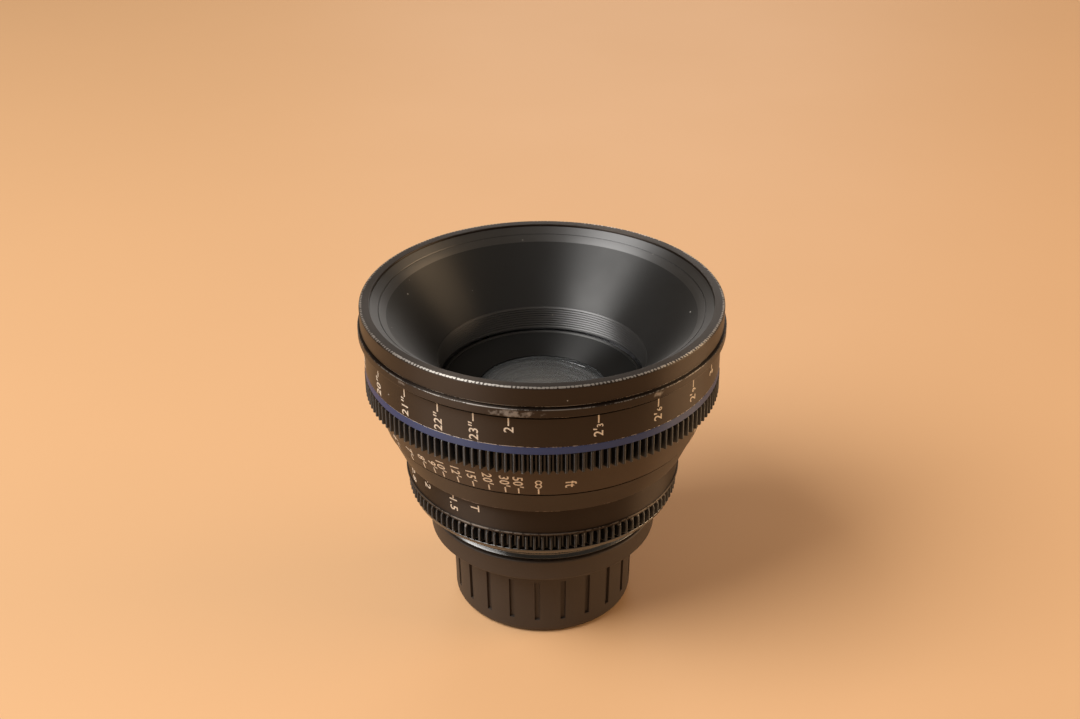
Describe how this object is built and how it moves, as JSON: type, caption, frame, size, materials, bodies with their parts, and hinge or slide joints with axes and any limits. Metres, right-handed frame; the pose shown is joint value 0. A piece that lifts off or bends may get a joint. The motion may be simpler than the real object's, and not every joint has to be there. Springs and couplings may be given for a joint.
{
  "type": "cinema prime lens",
  "caption": "Cinema prime lens with geared focus and iris rings, a conical front hood, a clamp-on front ring and a lens mount closed by a ribbed push-on rear cap.",
  "frame": {"origin": "centre of the rear cap's foot, where the lens stands", "axes": "+Z along the optical axis towards the front, -Y towards the engraved scales, +X to the right of someone facing them"},
  "size_m": [0.1155, 0.1154, 0.1095],
  "materials": {
    "satin_black": "satin black anodised, worn bright on edges",
    "gear_black": "black anodised teeth, rubbed on the tips",
    "accent_blue": "satin blue anodised",
    "gloss_black": "glossy black anodised",
    "hood_black": "matte blue-black anti-reflection coat",
    "plain_aluminium": "plain machined",
    "mount_steel": "turned stainless steel",
    "black_steel": "blackened steel",
    "brass": "plain turned brass",
    "cap_plastic": "fine matte moulding",
    "coated_glass": "polished, anti-reflection coated"
  },
  "bodies": {
    "rear_cap": {"rear_cap": "cap_plastic"},
    "barrel": {"lens_mount": "mount_steel", "mount_shim": "brass", "mount_screws": "mount_steel", "rear_barrel": "gloss_black", "main_barrel": "plain_aluminium", "index_band": "satin_black", "band_grub_screws": "black_steel", "hood": "hood_black", "front_ring": "satin_black", "stop_ring": "satin_black", "front_screws": "black_steel"},
    "focus_ring": {"focus_scale_ring": "satin_black", "accent_ring": "accent_blue", "focus_gear": "gear_black", "lower_scale_ring": "satin_black", "focus_cam_sleeve": "brass", "focus_screws": "black_steel"},
    "iris_ring": {"iris_ring": "satin_black", "iris_drive_bar": "mount_steel"},
    "optical_unit": {"lens_carrier": "plain_aluminium", "cam_followers": "brass", "front_cell": "hood_black", "rear_cell": "hood_black", "front_bezel": "hood_black", "rear_retainer": "hood_black", "element_1": "coated_glass", "element_2": "coated_glass", "element_3": "coated_glass", "element_4": "coated_glass", "element_5": "coated_glass", "element_6": "coated_glass", "element_7": "coated_glass", "spacer_1_2": "hood_black", "spacer_2_3": "hood_black", "spacer_6_7": "hood_black", "iris_base": "plain_aluminium"},
    "iris_cam": {"iris_cam_ring": "brass"},
    "iris_blade_01": {"iris_blade_01": "black_steel"},
    "iris_blade_02": {"iris_blade_02": "black_steel"},
    "iris_blade_03": {"iris_blade_03": "black_steel"},
    "iris_blade_04": {"iris_blade_04": "black_steel"},
    "iris_blade_05": {"iris_blade_05": "black_steel"},
    "iris_blade_06": {"iris_blade_06": "black_steel"},
    "iris_blade_07": {"iris_blade_07": "black_steel"},
    "iris_blade_08": {"iris_blade_08": "black_steel"},
    "iris_blade_09": {"iris_blade_09": "black_steel"},
    "iris_blade_10": {"iris_blade_10": "black_steel"},
    "iris_blade_11": {"iris_blade_11": "black_steel"},
    "iris_blade_12": {"iris_blade_12": "black_steel"},
    "iris_blade_13": {"iris_blade_13": "black_steel"},
    "iris_blade_14": {"iris_blade_14": "black_steel"}
  },
  "joints": [
    {"name": "lens_lift", "type": "slide", "parent": "rear_cap", "child": "barrel", "axis": [0, 0, 1], "range_m": [0, 0.03]},
    {"name": "focus_turn", "type": "hinge", "parent": "barrel", "child": "focus_ring", "pos_m": [0, 0, 0.084], "axis": [0, 0, 1], "range_deg": [-77.5, 222.5]},
    {"name": "optics_travel", "type": "slide", "parent": "barrel", "child": "optical_unit", "axis": [0, 0, 1], "range_m": [-0.00185, 0.0053]},
    {"name": "iris_turn", "type": "hinge", "parent": "barrel", "child": "iris_ring", "pos_m": [0, 0, 0.055], "axis": [0, 0, 1], "range_deg": [-45.4, 12.4]},
    {"name": "iris_cam_turn", "type": "hinge", "parent": "optical_unit", "child": "iris_cam", "pos_m": [0, 0, 0.0587], "axis": [0, 0, 1], "range_deg": [-45.41, 12.41]},
    {"name": "iris_blade_01_swing", "type": "hinge", "parent": "optical_unit", "child": "iris_blade_01", "pos_m": [0.022, 0, 0.06], "axis": [0, 0, 1], "range_deg": [-28.11, 7.68]},
    {"name": "iris_blade_02_swing", "type": "hinge", "parent": "optical_unit", "child": "iris_blade_02", "pos_m": [0.01982, 0.00955, 0.06], "axis": [0, 0, 1], "range_deg": [-28.11, 7.68]},
    {"name": "iris_blade_03_swing", "type": "hinge", "parent": "optical_unit", "child": "iris_blade_03", "pos_m": [0.01372, 0.0172, 0.06], "axis": [0, 0, 1], "range_deg": [-28.11, 7.68]},
    {"name": "iris_blade_04_swing", "type": "hinge", "parent": "optical_unit", "child": "iris_blade_04", "pos_m": [0.0049, 0.02145, 0.06], "axis": [0, 0, 1], "range_deg": [-28.11, 7.68]},
    {"name": "iris_blade_05_swing", "type": "hinge", "parent": "optical_unit", "child": "iris_blade_05", "pos_m": [-0.0049, 0.02145, 0.06], "axis": [0, 0, 1], "range_deg": [-28.11, 7.68]},
    {"name": "iris_blade_06_swing", "type": "hinge", "parent": "optical_unit", "child": "iris_blade_06", "pos_m": [-0.01372, 0.0172, 0.06], "axis": [0, 0, 1], "range_deg": [-28.11, 7.68]},
    {"name": "iris_blade_07_swing", "type": "hinge", "parent": "optical_unit", "child": "iris_blade_07", "pos_m": [-0.01982, 0.00955, 0.06], "axis": [0, 0, 1], "range_deg": [-28.11, 7.68]},
    {"name": "iris_blade_08_swing", "type": "hinge", "parent": "optical_unit", "child": "iris_blade_08", "pos_m": [-0.022, 0, 0.06], "axis": [0, 0, 1], "range_deg": [-28.11, 7.68]},
    {"name": "iris_blade_09_swing", "type": "hinge", "parent": "optical_unit", "child": "iris_blade_09", "pos_m": [-0.01982, -0.00955, 0.06], "axis": [0, 0, 1], "range_deg": [-28.11, 7.68]},
    {"name": "iris_blade_10_swing", "type": "hinge", "parent": "optical_unit", "child": "iris_blade_10", "pos_m": [-0.01372, -0.0172, 0.06], "axis": [0, 0, 1], "range_deg": [-28.11, 7.68]},
    {"name": "iris_blade_11_swing", "type": "hinge", "parent": "optical_unit", "child": "iris_blade_11", "pos_m": [-0.0049, -0.02145, 0.06], "axis": [0, 0, 1], "range_deg": [-28.11, 7.68]},
    {"name": "iris_blade_12_swing", "type": "hinge", "parent": "optical_unit", "child": "iris_blade_12", "pos_m": [0.0049, -0.02145, 0.06], "axis": [0, 0, 1], "range_deg": [-28.11, 7.68]},
    {"name": "iris_blade_13_swing", "type": "hinge", "parent": "optical_unit", "child": "iris_blade_13", "pos_m": [0.01372, -0.0172, 0.06], "axis": [0, 0, 1], "range_deg": [-28.11, 7.68]},
    {"name": "iris_blade_14_swing", "type": "hinge", "parent": "optical_unit", "child": "iris_blade_14", "pos_m": [0.01982, -0.00955, 0.06], "axis": [0, 0, 1], "range_deg": [-28.11, 7.68]}
  ],
  "couplings": [
    {"joint": "optics_travel", "follows": "focus_turn", "m_per_rad": 0.0013655},
    {"joint": "iris_cam_turn", "follows": "iris_turn", "ratio": 1},
    {"joint": "iris_blade_01_swing", "follows": "iris_turn", "ratio": 0.61892},
    {"joint": "iris_blade_02_swing", "follows": "iris_turn", "ratio": 0.61892},
    {"joint": "iris_blade_03_swing", "follows": "iris_turn", "ratio": 0.61892},
    {"joint": "iris_blade_04_swing", "follows": "iris_turn", "ratio": 0.61892},
    {"joint": "iris_blade_05_swing", "follows": "iris_turn", "ratio": 0.61892},
    {"joint": "iris_blade_06_swing", "follows": "iris_turn", "ratio": 0.61892},
    {"joint": "iris_blade_07_swing", "follows": "iris_turn", "ratio": 0.61892},
    {"joint": "iris_blade_08_swing", "follows": "iris_turn", "ratio": 0.61892},
    {"joint": "iris_blade_09_swing", "follows": "iris_turn", "ratio": 0.61892},
    {"joint": "iris_blade_10_swing", "follows": "iris_turn", "ratio": 0.61892},
    {"joint": "iris_blade_11_swing", "follows": "iris_turn", "ratio": 0.61892},
    {"joint": "iris_blade_12_swing", "follows": "iris_turn", "ratio": 0.61892},
    {"joint": "iris_blade_13_swing", "follows": "iris_turn", "ratio": 0.61892},
    {"joint": "iris_blade_14_swing", "follows": "iris_turn", "ratio": 0.61892}
  ]
}
